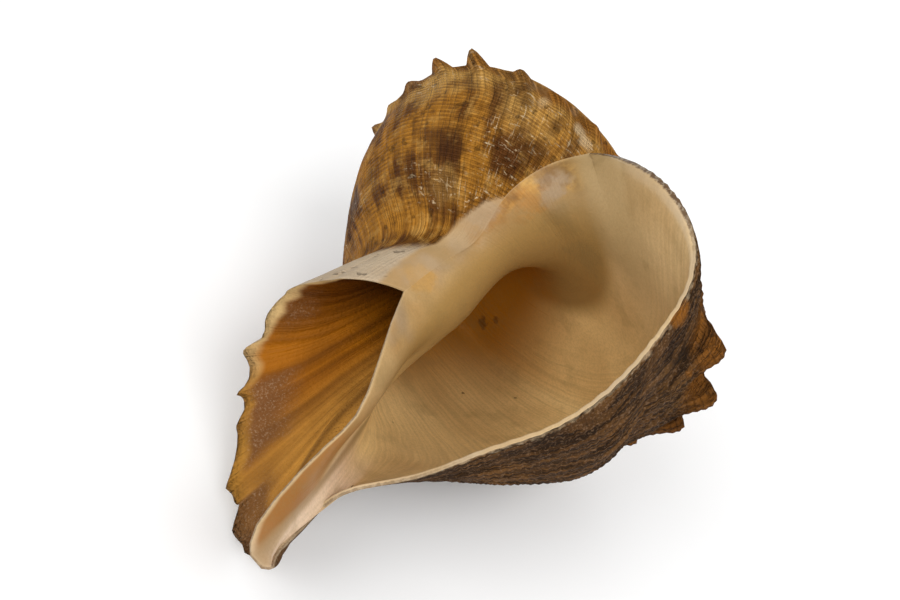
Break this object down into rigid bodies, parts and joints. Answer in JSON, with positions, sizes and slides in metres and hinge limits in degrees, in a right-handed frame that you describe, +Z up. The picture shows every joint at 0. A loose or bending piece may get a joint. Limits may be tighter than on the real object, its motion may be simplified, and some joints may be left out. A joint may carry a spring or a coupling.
{
  "type": "rapa whelk shell",
  "caption": "Empty spiral sea snail shell with a wide open mouth, a spiny shoulder, a low spire and a funnel-shaped umbilicus beside a short canal.",
  "frame": {"origin": "centre of the bounding box at the ground, under the shell lying on its back", "axes": "+Z up, the mouth opens up and towards -Y, the canal points to -Y and the spire to +Y"},
  "size_m": [0.0798, 0.0906, 0.0699],
  "materials": {
    "shell": "rough outside, satin inside the mouth"
  },
  "bodies": {
    "root": {"shell": "shell"}
  },
  "joints": []
}
